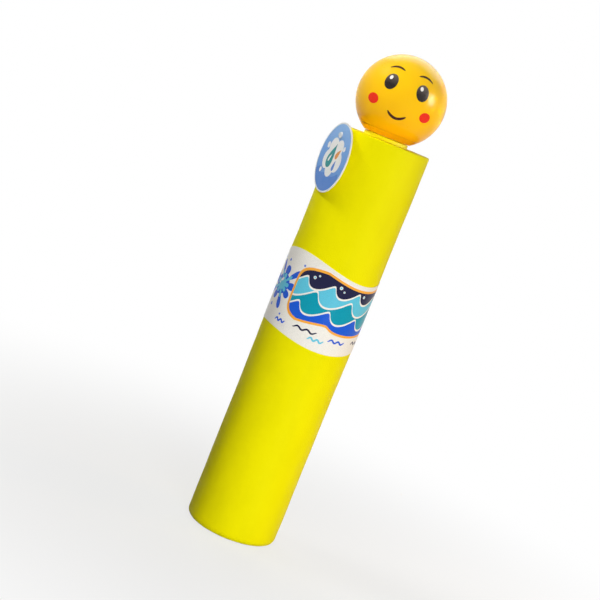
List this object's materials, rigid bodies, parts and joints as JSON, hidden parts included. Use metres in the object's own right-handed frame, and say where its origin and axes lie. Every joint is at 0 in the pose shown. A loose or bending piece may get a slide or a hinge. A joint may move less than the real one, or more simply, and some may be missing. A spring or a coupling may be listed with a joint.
{
  "type": "water squirter",
  "caption": "Foam-sleeved piston water squirter: thick foam tube over a rigid barrel, recessed nozzle, sliding plunger with a round ball handle, wrap label and round card tag.",
  "frame": {"origin": "centre of the foam sleeve's nozzle end face, on which the squirter stands", "axes": "+Z along the squirter from the nozzle end to the ball handle; -Y is the front, where the ball's face and the label look"},
  "size_m": [0.0614, 0.0629, 0.3014],
  "materials": {
    "foam": "soft closed-cell foam, satin skin",
    "barrel": "extruded rigid tube",
    "nozzle": "moulded",
    "collar": "moulded",
    "steel": "plain",
    "label": "printed film",
    "tag_pin": "nylon",
    "tag": "printed card",
    "seal": "moulded rubber",
    "piston": "moulded",
    "rod": "extruded rigid tube",
    "ball": "glossy moulded shell"
  },
  "bodies": {
    "barrel": {"foam_sleeve": "foam", "barrel_tube": "barrel", "nozzle_cap": "nozzle", "rear_cap": "collar", "rear_cap_screws": "steel", "label_sticker": "label", "tag_pin": "tag_pin"},
    "seal": {"piston_seal": "seal"},
    "plunger": {"piston_head": "piston", "piston_rod": "rod", "piston_cross_pin": "steel", "ball_base": "ball", "handle_cross_pin": "steel", "ball_front_shell": "ball", "ball_back_shell": "ball"},
    "tag": {"tag_card": "tag"}
  },
  "joints": [
    {"name": "plunger_slide", "type": "slide", "parent": "barrel", "child": "seal", "axis": [0, 0, 1], "range_m": [0, 0.204]},
    {"name": "plunger_spin", "type": "hinge", "parent": "seal", "child": "plunger", "pos_m": [0, 0, 0.024], "axis": [0, 0, 1], "continuous": true},
    {"name": "tag_swing", "type": "hinge", "parent": "barrel", "child": "tag", "pos_m": [-0.02379, -0.01541, 0.244], "axis": [-0.9135, -0.4067, 0], "continuous": true}
  ]
}
